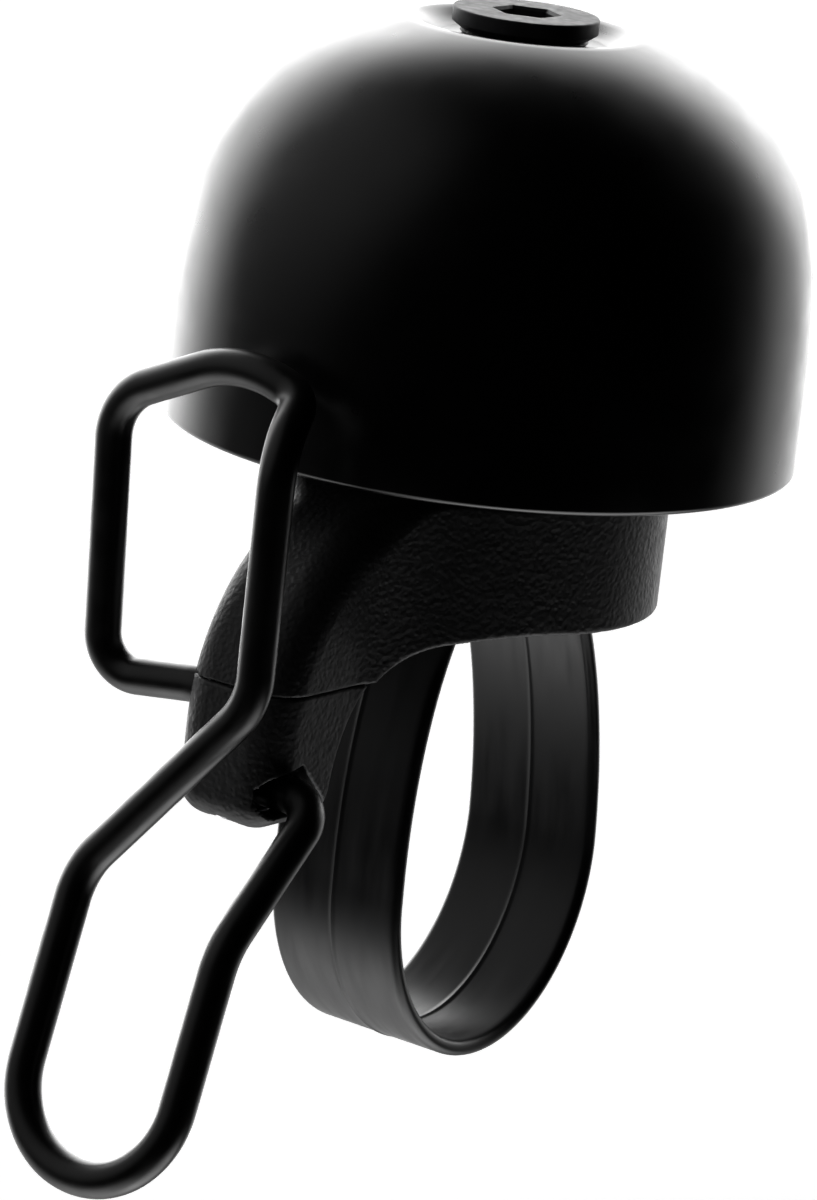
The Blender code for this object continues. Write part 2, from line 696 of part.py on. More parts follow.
def wire_corners():
    """The wire's corners from the pivot end to the tail end, each with its bend radius."""
    left = -PADDLE_HALF_WIDTH
    right = PADDLE_HALF_WIDTH
    return [
        ((-WIRE_END_X, PIVOT_Y, PIVOT_Z), 0.0),
        ((-5.3 * MM, PIVOT_Y, PIVOT_Z), 3.0 * MM),
        ((-13.3 * MM, -24.0 * MM, -6.5 * MM), 2.8 * MM),
        ((-13.2 * MM, -25.6 * MM, 13.9 * MM), 4.8 * MM),
        ((-2.6 * MM, -25.45 * MM, 18.9 * MM), 9.4 * MM),
        ((2.75 * MM, -25.2 * MM, 17.2 * MM), 2.6 * MM),
        ((4.6 * MM, -29.6 * MM, 14.4 * MM), 5.0 * MM),
        ((4.6 * MM, -29.5 * MM, -3.7 * MM), 6.0 * MM),
        ((left, -32.2 * MM, -18.0 * MM), 6.0 * MM),
        ((left, -37.9 * MM, -37.6 * MM), 6.75 * MM),
        ((right, -37.9 * MM, -37.6 * MM), 6.75 * MM),
        ((right, -32.8 * MM, -20.2 * MM), 6.0 * MM),
        ((right, PIVOT_Y, TAIL_Z), 2.6 * MM),
        ((WIRE_END_X, PIVOT_Y, TAIL_Z), 0.0),
    ]


def bent_path(corners):
    """A line through the corners, each rounded by an arc of its own radius."""
    points = [Vector(corners[0][0])]
    for i in range(1, len(corners) - 1):
        corner = Vector(corners[i][0])
        radius = corners[i][1]
        back = (Vector(corners[i - 1][0]) - corner).normalized()
        ahead = (Vector(corners[i + 1][0]) - corner).normalized()
        turn = math.pi - back.angle(ahead)
        centre_run = (back + ahead).normalized()
        centre = corner + centre_run * (radius / math.cos(turn / 2))
        reach = radius * math.tan(turn / 2)
        start = (corner + back * reach - centre).normalized()
        end = (corner + ahead * reach - centre).normalized()
        steps = max(2, math.ceil(turn / BEND_STEP))
        for step in range(steps + 1):
            points.append(centre + radius * start.slerp(end, step / steps))
    points.append(Vector(corners[-1][0]))
    return points


def make_lever(paint, pivot):
    curve = bpy.data.curves.new("lever_wire", "CURVE")
    curve.dimensions = "3D"
    curve.bevel_depth = WIRE_RADIUS
    curve.bevel_resolution = 3
    curve.use_fill_caps = True
    points = bent_path(wire_corners())
    line = curve.splines.new("POLY")
    line.points.add(len(points) - 1)
    for point, place in zip(line.points, points):
        point.co = (*(place - pivot.location), 1.0)
    line.use_smooth = True
    curve.materials.append(paint)
    lever = bpy.data.objects.new("lever_wire", curve)
    parts.objects.link(lever)
    lever.parent = pivot
    return lever


# ---------------------------------------------------------------- assembly

def make_empty(name, place):
    made = bpy.data.objects.new(name, None)
    made.empty_display_size = 5 * MM
    made.location = place
    parts.objects.link(made)
    return made


def hang(names, empty):
    """Parent the named parts to an empty, leaving them where they are."""
    bpy.context.view_layer.update()
    for name in names:
        item = bpy.data.objects[name]
        item.parent = empty
        item.matrix_parent_inverse = empty.matrix_world.inverted()


def build():
    clear_scene()
    satin_black = material("dome_paint", (0.012, 0.012, 0.013), 0.28, 0.35)
    black_oxide = material("black_oxide_steel", (0.05, 0.05, 0.052), 0.42, 0.85)
    zinc = material("zinc_steel", (0.62, 0.63, 0.65), 0.35, 1.0)
    alloy = material("turned_alloy", (0.72, 0.72, 0.74), 0.3, 1.0)
    moulded = material("moulded_nylon", (0.022, 0.022, 0.023), 0.6)
    strap_nylon = material("strap_nylon", (0.03, 0.03, 0.032), 0.38)
    coated = material("coated_wire", (0.015, 0.014, 0.014), 0.35)
    rubber = material("grommet_rubber", (0.03, 0.03, 0.03), 0.8)

    make_dome(satin_black)
    make_dome_screw(black_oxide)
    make_head_washer(moulded)
    make_grommet(rubber)
    make_post(zinc, alloy)
    make_guide_cap(moulded)
    make_body(moulded)
    make_keeper(moulded)
    make_keeper_screw(zinc)
    make_carriage(moulded)
    make_clamp_nut(zinc)
    make_strap_pins(zinc)
    make_strap(strap_nylon)

    pivot = make_empty("lever_pivot", (0.0, PIVOT_Y, PIVOT_Z))
    bpy.context.view_layer.update()
    make_lever(coated, pivot)
    climb = make_empty("clamp_climb", (0.0, 0.0, 0.0))
    hang(["clamp_carriage", "clamp_nut", "strap_pin_front", "strap_pin_rear", "clamp_strap"], climb)


build()
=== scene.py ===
"""Looks of the bicycle bell: fine meshes, materials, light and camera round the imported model.

Metres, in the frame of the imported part: +Z is the dome's axis, the handlebar runs along X
and the lever is on the -Y side.
"""

import math

import bmesh
import bpy
import numpy as np
from mathutils import Matrix, Vector


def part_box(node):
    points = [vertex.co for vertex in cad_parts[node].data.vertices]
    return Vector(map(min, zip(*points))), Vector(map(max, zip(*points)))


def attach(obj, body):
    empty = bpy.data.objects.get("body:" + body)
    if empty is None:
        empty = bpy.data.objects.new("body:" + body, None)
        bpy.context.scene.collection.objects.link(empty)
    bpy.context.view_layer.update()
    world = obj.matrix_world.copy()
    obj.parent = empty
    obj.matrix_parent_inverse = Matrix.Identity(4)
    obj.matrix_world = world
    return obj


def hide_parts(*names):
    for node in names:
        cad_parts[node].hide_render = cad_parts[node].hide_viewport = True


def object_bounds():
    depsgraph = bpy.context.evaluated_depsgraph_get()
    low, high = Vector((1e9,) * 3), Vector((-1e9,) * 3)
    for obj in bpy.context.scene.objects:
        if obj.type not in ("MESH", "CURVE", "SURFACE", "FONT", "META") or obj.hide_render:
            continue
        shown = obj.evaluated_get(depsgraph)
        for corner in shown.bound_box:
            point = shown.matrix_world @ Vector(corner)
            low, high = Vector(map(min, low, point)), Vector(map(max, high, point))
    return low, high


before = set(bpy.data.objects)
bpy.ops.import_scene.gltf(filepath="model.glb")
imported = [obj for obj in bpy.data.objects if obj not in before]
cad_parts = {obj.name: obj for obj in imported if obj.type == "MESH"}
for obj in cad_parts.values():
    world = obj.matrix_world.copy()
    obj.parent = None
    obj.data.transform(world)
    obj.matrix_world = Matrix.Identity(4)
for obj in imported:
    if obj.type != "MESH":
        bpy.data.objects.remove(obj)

cad_low, cad_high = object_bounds()

MM = 0.001

# Dome, as a superellipse turned about Z.
DOME_WALL = 1.3 * MM
DOME_SHOULDER = 2.4
DOME_CROWN = 3.9
DOME_RISE = 30.9 * MM
SEAT_RADIUS = 5.9 * MM
SEAT_DEPTH = 1.75 * MM
SEAT_BLEND_RADIUS = 8.6 * MM
DOME_HOLE_RADIUS = 4.2 * MM
RIM_ROUNDING = 0.45 * MM
DOME_STEPS = 90
DOME_STEP_BIAS = 1.3
TURN_STEPS = 160

# Screw through the dome.
SCREW_RADIUS = 2.95 * MM
HEAD_RADIUS = 5.25 * MM
HEAD_HEIGHT = 1.45 * MM
HEAD_CHAMFER = 0.4 * MM
HEAD_EDGE = 0.12 * MM
HEX_ACROSS_FLATS = 4.0 * MM
HEX_DEPTH = 1.05 * MM
HEX_CHAMFER = 0.22 * MM
BORE_RADIUS = 3.25 * MM

# Base, arm and block.
BASE_TOP_Z = 9.3 * MM
TOWER_RADIUS = 12.9 * MM
FLOOR_HEIGHT = 2.2 * MM
ARM_HALF_WIDTH = 4.65 * MM
ARM_FILLET = 8.0 * MM
SHOULDER_Y = -10.0 * MM
SHOULDER_DROP = 17.0 * MM
ARCH_RADIUS = 12.6 * MM
ARCH_CENTRE_Y = -6.6 * MM
KEEPER_STEP = 0.4 * MM
OUTER_EDGE = 2.8 * MM
FINE_EDGE = 0.3 * MM
EDGE_GROWS_FROM_Y = -12.5 * MM
EDGE_GROWTH = 4.5 * MM
ARCH_EDGE = 0.35 * MM
SEAM_EDGE = 0.08 * MM
SEAM_GAP = 0.05 * MM
KEEPER_HEAD_DEPTH = 1.15 * MM
KEEPER_RECESS_RADIUS = 2.15 * MM
KEEPER_HOLE_RADIUS = 1.3 * MM
BLOCK_EDGE = 2.0 * MM
CAVITY_HALF_X = 6.1 * MM
CAVITY_HALF_Y = 9.7 * MM
SLOT_HALF_X = 6.2 * MM
SLOT_NEAR_Y = 5.95 * MM
SLOT_FAR_Y = 9.4 * MM
OVERCUT = 1.0 * MM
BODY_CELL = 0.2 * MM
KEEPER_CELL = 0.17 * MM

# Strap.
STRAP_THICKNESS = 1.2 * MM
STRAP_HALF_WIDTH = 5.75 * MM
STRAP_INNER_RADIUS = 11.3 * MM
STRAP_ROOT_HALF_SPACING = 6.4 * MM
STRAP_CENTRE_Z = -20.7 * MM
STRAP_LOWER_RISE = 12.9 * MM
STRAP_LEAN = math.radians(2.8)
STRAP_STEPS = 150
EYE_RADIUS = 1.9 * MM
EYE_HALF_WIDTH = 3.3 * MM
EYE_Z = 4.8 * MM
EYE_HOLE_RADIUS = 1.1 * MM
NECK_Z = 1.8 * MM
NECK_TOP_Z = 3.28 * MM
NECK_STEP = 0.02 * MM
EYE_CLEARANCE = 0.1 * MM
EDGE_SUPPORT = 0.3 * MM
MOULD_LINE = 0.07 * MM

# Lever wire: the route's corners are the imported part's own.
WIRE_RADIUS = 1.325 * MM
WIRE_CHAMFER = 0.2 * MM
PIVOT_Y = -23.5 * MM
PIVOT_Z = -5.45 * MM
TAIL_Z = -11.2 * MM
WIRE_END_X = 1.55 * MM
PADDLE_HALF_WIDTH = 6.8 * MM
GROOVE_RADIUS = 1.475 * MM
GROOVE_END_X = 1.0 * MM
GROOVE_REACH = 9.3 * MM
TAIL_SLOT_RADIUS = 1.625 * MM
TAIL_SLOT_SHIFT = 0.35 * MM
TAIL_SLOT_HALF_RUN = 0.75 * MM
RECESS_APEX_Y = 0.55 * MM
RECESS_APEX_Z = 2.2 * MM
RECESS_FRONT = -1.6 * MM
RECESS_FLOOR = -1.3 * MM
RECESS_DEPTH = 1.1 * MM
RECESS_FRONT_SLOPE = -0.27
RECESS_REAR_SLOPE = 1.04
BEND_STEP = math.radians(4)

# Camera, at the angle of the reference view.
CAMERA_AZIMUTH = math.radians(35.56)
CAMERA_ELEVATION = math.radians(14.18)
CAMERA_ROLL = math.radians(6.53)
CAMERA_DISTANCE = 453.25 * MM
CAMERA_AIM = Vector((-1.18, -4.55, -0.94)) * MM
CAMERA_LENS = 188.1
CAMERA_SENSOR = 36.0

FLOOR_SIZE = 6.0
FLOOR_DROP = 14 * MM
FLOOR_GLOW = 0.45


# ---------------------------------------------------------------- mesh tools

def add_mesh(name, verts, faces):
    mesh = bpy.data.meshes.new(name)
    mesh.from_pydata([tuple(v) for v in verts], [], [tuple(f) for f in faces])
    mesh.validate()
    mesh.shade_smooth()
    made = bpy.data.objects.new(name, mesh)
    bpy.context.scene.collection.objects.link(made)
    return made


def sharpen(item, angle=32.0):
    item.data.shade_smooth()
    item.data.set_sharp_from_angle(angle=math.radians(angle))
    return item


def lathe(name, outline, steps=TURN_STEPS):
    """A closed outline of (radius, z), run down its outer side, turned about Z."""
    verts = []
    faces = []
    count = len(outline)
    rings = []
    for radius, z in outline:
        if radius < 1e-9:
            rings.append([len(verts)] * steps)
            verts.append((0.0, 0.0, z))
            continue
        rings.append(list(range(len(verts), len(verts) + steps)))
        for step in range(steps):
            angle = 2 * math.pi * step / steps
            verts.append((radius * math.cos(angle), radius * math.sin(angle), z))
    for i in range(count):
        upper = rings[i]
        lower = rings[(i + 1) % count]
        if upper[0] == upper[-1] and lower[0] == lower[-1]:
            continue
        for step in range(steps):
            after = (step + 1) % steps
            corners = [upper[step], lower[step], lower[after], upper[after]]
            faces.append(list(dict.fromkeys(corners)))
    return sharpen(add_mesh(name, verts, faces))


def cut(item, tools):
    """Cut each tool out of an object and apply the result."""
    for tool in tools:
        step = item.modifiers.new("cut", "BOOLEAN")
        step.operation = "DIFFERENCE"
        step.solver = "EXACT"
        step.object = tool
        bpy.context.view_layer.update()
        graph = bpy.context.evaluated_depsgraph_get()
        made = bpy.data.meshes.new_from_object(item.evaluated_get(graph))
        item.modifiers.clear()
        item.data = made
        bpy.data.objects.remove(tool, do_unlink=True)
    return item


def arc(centre, radius, start, end, steps):
    """Points of a circular arc, angles in degrees."""
    points = []
    for step in range(steps + 1):
        angle = math.radians(start + (end - start) * step / steps)
        points.append((centre[0] + radius * math.cos(angle), centre[1] + radius * math.sin(angle)))
    return points


def surface(name, field, low, high, cell):
    """The surface where a field is zero, with the field negative inside the piece.

    One point for each grid cell that the surface crosses, then pulled onto the surface.
    """
    axes = [np.arange(a - 2 * cell, b + 3 * cell, cell) for a, b in zip(low, high)]
    value = field(*np.meshgrid(*axes, indexing="ij"))
    cells = [n - 1 for n in value.shape]
    total = np.zeros((*cells, 3), np.float32)
    count = np.zeros(cells, np.float32)
    crossings = []
    for axis in range(3):
        before = np.moveaxis(value, axis, 0)[:-1]
        after = np.moveaxis(value, axis, 0)[1:]
        crosses = (before < 0) != (after < 0)
        share = np.where(crosses, before / np.where(crosses, before - after, 1), 0)
        crosses = np.moveaxis(crosses, 0, axis)
        share = np.moveaxis(share, 0, axis)
        crossings.append(crosses)
        u, v = [a for a in range(3) if a != axis]
        for du in (0, 1):
            for dv in (0, 1):
                pick = [slice(None)] * 3
                pick[u] = slice(du, du + cells[u])
                pick[v] = slice(dv, dv + cells[v])
                hit = crosses[tuple(pick)]
                total[..., axis] += share[tuple(pick)]
                total[..., u] += du * hit
                total[..., v] += dv * hit
                count += hit
    used = count > 0
    index = np.full(cells, -1, np.int64)
    index[used] = np.arange(used.sum())
    corner = np.array([a[0] for a in axes])
    points = corner + cell * (np.argwhere(used) + total[used] / count[used][:, None])
    points = pull_to_surface(points, field, cell)
    faces = [crossing_quads(value, index, crossings[axis], axis) for axis in range(3)]
    return add_mesh(name, points, np.concatenate(faces).tolist())


def crossing_quads(value, index, crosses, axis):
    """The quad of four cells round each grid edge that the surface crosses."""
    u, v = (axis + 1) % 3, (axis + 2) % 3
    found = np.argwhere(crosses)
    keep = (found[:, u] > 0) & (found[:, v] > 0)
    keep &= (found[:, u] < index.shape[u]) & (found[:, v] < index.shape[v])
    found = found[keep]
    inside = value[tuple(found.T)] < 0
    ring = []
    for du, dv in ((1, 1), (0, 1), (0, 0), (1, 0)):
        cell = found.copy()
        cell[:, u] -= du
        cell[:, v] -= dv
        ring.append(index[tuple(cell.T)])
    quads = np.stack(ring, 1)
    quads[~inside] = quads[~inside][:, ::-1]
    return quads


def pull_to_surface(points, field, cell, rounds=3):
    """Newton steps along the field's gradient, each shorter than half a cell."""
    nudge = cell * 0.05
    for _ in range(rounds):
        here = field(*points.T)
        slope = np.empty_like(points)
        for axis in range(3):
            moved = points.copy()
            moved[:, axis] += nudge
            slope[:, axis] = (field(*moved.T) - here) / nudge
        step = here / np.maximum((slope ** 2).sum(1), 0.1)
        move = slope * step[:, None]
        length = np.linalg.norm(move, axis=1)
        move *= np.minimum(1, 0.4 * cell / np.maximum(length, 1e-12))[:, None]
        points = points - move
    return points


# ---------------------------------------------------------------- fields of the moulded parts

def round_join(a, b, radius):
    """Inside both fields, with the edge between them rounded."""
    over = np.hypot(np.maximum(a + radius, 0), np.maximum(b + radius, 0))
    return np.minimum(np.maximum(a, b), -radius) + over


def box_field(x, y, z, low, high):
    sides = [low[0] - x, x - high[0], low[1] - y, y - high[1], low[2] - z, z - high[2]]
    return np.maximum.reduce(np.broadcast_arrays(*sides))


def rod_field(u, v, along, radius, start, end):
    """A round bar of the (u, v) plane between two places along its axis."""
    return np.maximum.reduce(np.broadcast_arrays(np.hypot(u, v) - radius, start - along, along - end))


def plan_field(x, y):
    """Base disc and arm from above, with the concave fillets between them."""
    fillet_x = ARM_HALF_WIDTH + ARM_FILLET
    fillet_y = math.sqrt((base_radius + ARM_FILLET) ** 2 - fillet_x ** 2)
    side = np.abs(x)
    ahead = -y
    disc = np.hypot(x, y) - base_radius
    arm = np.maximum(side - ARM_HALF_WIDTH, -ahead)
    fillet = ARM_FILLET - np.hypot(side - fillet_x, ahead - fillet_y)
    in_fillet = (ahead < fillet_y) & (ahead > 0) & (side * fillet_y < ahead * fillet_x)
    return np.where(in_fillet, fillet, np.minimum(disc, arm))


def back_field(y, z):
    """Under the back of the arm: level over the base, then a quarter ellipse to the front."""
    reach = SHOULDER_Y - front_y
    across = np.minimum(y - SHOULDER_Y, 0) / reach
    rise = np.maximum(z - (BASE_TOP_Z - SHOULDER_DROP), 0) / SHOULDER_DROP
    size = np.hypot(across, rise)
    slope = np.maximum(np.hypot(across / reach, rise / SHOULDER_DROP), 1e-6)
    return np.where(size > 1e-6, size * (size - 1) / slope, -SHOULDER_DROP)


def arch_field(y, z, step_back):
    """Outside the arch that the handlebar passes under."""
    back = np.minimum(y - ARCH_CENTRE_Y, 0)
    rise = np.maximum(z + ARCH_RADIUS, 0)
    return ARCH_RADIUS + step_back - np.hypot(back, rise)


def shell_field(x, y, z, step_back=0.0):
    """Base, arm and block as one moulding, before the seam parts it."""
    share = np.clip((EDGE_GROWS_FROM_Y - y) / EDGE_GROWTH, 0, 1)
    edge = FINE_EDGE + (OUTER_EDGE - FINE_EDGE) * share * share * (3 - 2 * share)
    outer = round_join(back_field(y, z), block_low - z, BLOCK_EDGE)
    shell = round_join(plan_field(x, y), outer, edge)
    return round_join(shell, arch_field(y, z, step_back), ARCH_EDGE)


def body_field(x, y, z):
    """The upper moulding: base, guide tower, and the arm down to the seam."""
    shell = round_join(shell_field(x, y, z), seam_z - z, SEAM_EDGE)
    tower = rod_field(x, y, z, TOWER_RADIUS, BASE_TOP_Z - OVERCUT, tower_top)
    solid = np.minimum(shell, tower)
    low = (-CAVITY_HALF_X, -CAVITY_HALF_Y, FLOOR_HEIGHT)
    cavity = box_field(x, y, z, low, (CAVITY_HALF_X, CAVITY_HALF_Y, tower_top + OVERCUT))
    solid = np.maximum(solid, -cavity)
    low = (-SLOT_HALF_X, SLOT_NEAR_Y, -OVERCUT)
    slots = box_field(x, np.abs(y), z, low, (SLOT_HALF_X, SLOT_FAR_Y, FLOOR_HEIGHT + OVERCUT))
    return np.maximum(solid, -slots)


def keeper_field(x, y, z):
    """The lower half of the lever block, cut for the wire's two ends and for the keeper screw."""
    shell = round_join(shell_field(x, y, z, KEEPER_STEP), z - keeper_top, SEAM_EDGE)
    u = y - PIVOT_Y
    above_pivot = np.minimum(z - PIVOT_Z, 0)
    groove = rod_field(u, above_pivot, x, GROOVE_RADIUS, -GROOVE_REACH, -GROOVE_END_X)
    solid = np.maximum(shell, -groove)
    slot_z = z - TAIL_Z
    slot_u = np.maximum(np.abs(u + TAIL_SLOT_SHIFT) - TAIL_SLOT_HALF_RUN, 0)
    tail = rod_field(slot_u, slot_z, x, TAIL_SLOT_RADIUS, GROOVE_END_X, GROOVE_REACH)
    solid = np.maximum(solid, -tail)
    ahead = u - RECESS_APEX_Y
    slope = np.where(ahead < 0, RECESS_FRONT_SLOPE, RECESS_REAR_SLOPE)
    roof = slot_z - RECESS_APEX_Z + slope * ahead
    inner = ARM_HALF_WIDTH - RECESS_DEPTH - x
    recess = np.maximum.reduce(np.broadcast_arrays(roof, RECESS_FRONT - u, RECESS_FLOOR - slot_z, inner))
    solid = np.maximum(solid, -recess)
    step_z = block_low + KEEPER_HEAD_DEPTH
    head = rod_field(x, u, z, KEEPER_RECESS_RADIUS, block_low - OVERCUT, step_z)
    shank = rod_field(x, u, z, KEEPER_HOLE_RADIUS, block_low, keeper_top + OVERCUT)
    return np.maximum(solid, -np.minimum(head, shank))


# ---------------------------------------------------------------- pieces

def dome_profile(radius, rise, rim):
    """From the seat in the crown down to the rim, with a soft step into the seat."""
    seat_z = rim + rise - SEAT_DEPTH
    points = []
    for step in range(DOME_STEPS, -1, -1):
        angle = (step / DOME_STEPS) ** DOME_STEP_BIAS * math.pi / 2
        across = radius * math.cos(angle) ** (2 / DOME_SHOULDER)
        z = rim + rise * math.sin(angle) ** (2 / DOME_CROWN)
        if across < SEAT_RADIUS:
            continue
        share = min(1.0, (across - SEAT_RADIUS) / (SEAT_BLEND_RADIUS - SEAT_RADIUS))
        blend = share * share * (3 - 2 * share)
        points.append((across, seat_z + (z - seat_z) * blend))
    return [(SEAT_RADIUS, seat_z)] + points


def make_dome():
    low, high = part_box("bell_dome")
    rim = low.z
    rise = DOME_RISE - RIM_ROUNDING
    outer = dome_profile(high.x, rise, rim + RIM_ROUNDING)
    inner = dome_profile(high.x - DOME_WALL, rise - DOME_WALL, rim + RIM_ROUNDING)
    middle = high.x - DOME_WALL / 2
    lip = []
    for u, v in arc((0, 0), 1.0, -10, -170, 10):
        lip.append((middle + u * DOME_WALL / 2, rim + RIM_ROUNDING + v * RIM_ROUNDING))
    hole_top = (DOME_HOLE_RADIUS, outer[0][1])
    hole_low = (DOME_HOLE_RADIUS, inner[0][1])
    outline = [hole_top] + outer + lip + inner[::-1] + [hole_low]
    return sharpen(lathe("dome", outline, 192), 40)


def hex_tool(name, across_flats, low, high, flare=0.0):
    corner = across_flats / 2 / math.cos(math.pi / 6)
    work = bmesh.new()
    bmesh.ops.create_cone(
        work, cap_ends=True, segments=6, radius1=corner, radius2=corner + flare, depth=high - low)
    bmesh.ops.translate(work, vec=(0, 0, (low + high) / 2), verts=work.verts)
    mesh = bpy.data.meshes.new(name)
    work.to_mesh(mesh)
    work.free()
    made = bpy.data.objects.new(name, mesh)
    bpy.context.scene.collection.objects.link(made)
    return made


def make_screw():
    low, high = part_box("dome_screw")
    top = high.z
    under = top - HEAD_HEIGHT
    outline = [(0.0, top), (HEAD_RADIUS * 0.5, top), (HEAD_RADIUS - 3 * HEAD_EDGE, top)]
    outline += arc((HEAD_RADIUS - HEAD_EDGE, top - HEAD_EDGE), HEAD_EDGE, 90, 0, 4)
    outline += [(HEAD_RADIUS, under + HEAD_CHAMFER), (HEAD_RADIUS - 1.4 * HEAD_CHAMFER, under)]
    outline += [(SCREW_RADIUS, under), (SCREW_RADIUS, low.z + HEAD_CHAMFER)]
    outline += [(SCREW_RADIUS - HEAD_CHAMFER, low.z), (0.0, low.z)]
    screw = lathe("screw", outline, 128)
    socket = hex_tool("socket", HEX_ACROSS_FLATS, top - HEX_DEPTH, top + MM)
    mouth = hex_tool("mouth", HEX_ACROSS_FLATS, top - HEX_CHAMFER, top + HEX_CHAMFER, 2 * HEX_CHAMFER)
    return sharpen(cut(screw, [socket, mouth]), 24)


def make_ring(name, node, inner, chamfer=0.15 * MM):
    """A turned washer or sleeve of the node's own height and width."""
    low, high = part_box(node)
    outer = high.x
    outline = [(inner + chamfer, high.z), (outer - chamfer, high.z), (outer, high.z - chamfer)]
    outline += [(outer, low.z + chamfer), (outer - chamfer, low.z), (inner + chamfer, low.z)]
    outline += [(inner, low.z + chamfer), (inner, high.z - chamfer)]
    return lathe(name, outline, 96)


def strap_centreline():
    """From the front eye's neck round under the handlebar to the rear one's, as (y, z)."""
    half = STRAP_THICKNESS / 2
    across = STRAP_INNER_RADIUS + half
    root = STRAP_ROOT_HALF_SPACING + half
    root_angle = math.acos(root / across)
    upper_rise = -STRAP_CENTRE_Z / math.sin(root_angle)
    points = []
    for step in range(STRAP_STEPS + 1):
        angle = math.pi - root_angle + (math.pi + 2 * root_angle) * step / STRAP_STEPS
        rise = upper_rise if math.sin(angle) > 0 else STRAP_LOWER_RISE + half
        y = across * math.cos(angle)
        z = STRAP_CENTRE_Z + rise * math.sin(angle)
        blend = min(1.0, z / STRAP_CENTRE_Z)
        points.append((y - STRAP_CENTRE_Z * math.tan(STRAP_LEAN) * blend, z))
    neck = (NECK_TOP_Z, NECK_Z + NECK_STEP, NECK_Z)
    return [(-root, z) for z in neck] + points + [(root, z) for z in reversed(neck)]


def strap_section():
    """Half rounds at both edges, and a fine mould line down the middle of each face."""
    half = STRAP_THICKNESS / 2
    flat = STRAP_HALF_WIDTH - half
    line = 1.5 * MOULD_LINE
    face = [(flat - EDGE_SUPPORT, half), (4 * line, half), (1.5 * line, half)]
    face += [(0.5 * line, half + MOULD_LINE)]
    face += [(-x, v) for x, v in face[::-1]]
    upper = arc((flat, 0.0), half, -90, 90, 12) + face
    return upper + [(-x, -v) for x, v in upper]


def make_strap():
    """The section swept along the loop, narrowed at each end to the width of the eye for its pin."""
    line = strap_centreline()
    section = strap_section()
    verts = []
    faces = []
    for i, (y, z) in enumerate(line):
        before = Vector(line[max(i - 1, 0)])
        after = Vector(line[min(i + 1, len(line) - 1)])
        run = (after - before).normalized()
        width = EYE_HALF_WIDTH / STRAP_HALF_WIDTH if z > NECK_Z else 1.0
        for x, v in section:
            verts.append((x * width, y - run.y * v, z + run.x * v))
    count = len(section)
    for i in range(len(line) - 1):
        for j in range(count):
            k = (j + 1) % count
            faces.append((i * count + j, i * count + k, (i + 1) * count + k, (i + 1) * count + j))
    faces.append(list(range(count))[::-1])
    faces.append([(len(line) - 1) * count + j for j in range(count)])
    return sharpen(add_mesh("strap", verts, faces), 50)


def make_eye(name, y):
    """A bored boss that the strap's end is moulded onto."""
    outer = EYE_RADIUS - EYE_CLEARANCE
    outline = [(EYE_HOLE_RADIUS, EYE_HALF_WIDTH), (outer, EYE_HALF_WIDTH)]
    outline += [(outer, -EYE_HALF_WIDTH), (EYE_HOLE_RADIUS, -EYE_HALF_WIDTH)]
    eye = lathe(name, outline, 48)
    turn = Matrix.Translation((0, y, EYE_Z)) @ Matrix.Rotation(math.pi / 2, 4, "Y")
    eye.data.transform(turn)
    return eye


def wire_corners():
    """The wire's corners from the pivot end to the tail end, each with its bend radius."""
    left = -PADDLE_HALF_WIDTH
    right = PADDLE_HALF_WIDTH
    return [
        ((-WIRE_END_X, PIVOT_Y, PIVOT_Z), 0.0),
        ((-5.3 * MM, PIVOT_Y, PIVOT_Z), 3.0 * MM),
        ((-13.3 * MM, -24.0 * MM, -6.5 * MM), 2.8 * MM),
        ((-13.2 * MM, -25.6 * MM, 13.9 * MM), 4.8 * MM),
        ((-2.6 * MM, -25.45 * MM, 18.9 * MM), 9.4 * MM),
        ((2.75 * MM, -25.2 * MM, 17.2 * MM), 2.6 * MM),
        ((4.6 * MM, -29.6 * MM, 14.4 * MM), 5.0 * MM),
        ((4.6 * MM, -29.5 * MM, -3.7 * MM), 6.0 * MM),
        ((left, -32.2 * MM, -18.0 * MM), 6.0 * MM),
        ((left, -37.9 * MM, -37.6 * MM), 6.75 * MM),
        ((right, -37.9 * MM, -37.6 * MM), 6.75 * MM),
        ((right, -32.8 * MM, -20.2 * MM), 6.0 * MM),
        ((right, PIVOT_Y, TAIL_Z), 2.6 * MM),
        ((WIRE_END_X, PIVOT_Y, TAIL_Z), 0.0),
    ]


def bent_path(corners):
    """A line through the corners, each rounded by an arc of its own radius."""
    points = [Vector(corners[0][0])]
    for i in range(1, len(corners) - 1):
        corner = Vector(corners[i][0])
        radius = corners[i][1]
        back = (Vector(corners[i - 1][0]) - corner).normalized()
        ahead = (Vector(corners[i + 1][0]) - corner).normalized()
        turn = math.pi - back.angle(ahead)
        centre = corner + (back + ahead).normalized() * (radius / math.cos(turn / 2))
        reach = radius * math.tan(turn / 2)
        start = (corner + back * reach - centre).normalized()
        end = (corner + ahead * reach - centre).normalized()
        steps = max(3, math.ceil(turn / BEND_STEP))
        for step in range(steps + 1):
            points.append(centre + radius * start.slerp(end, step / steps))
    points.append(Vector(corners[-1][0]))
    return points


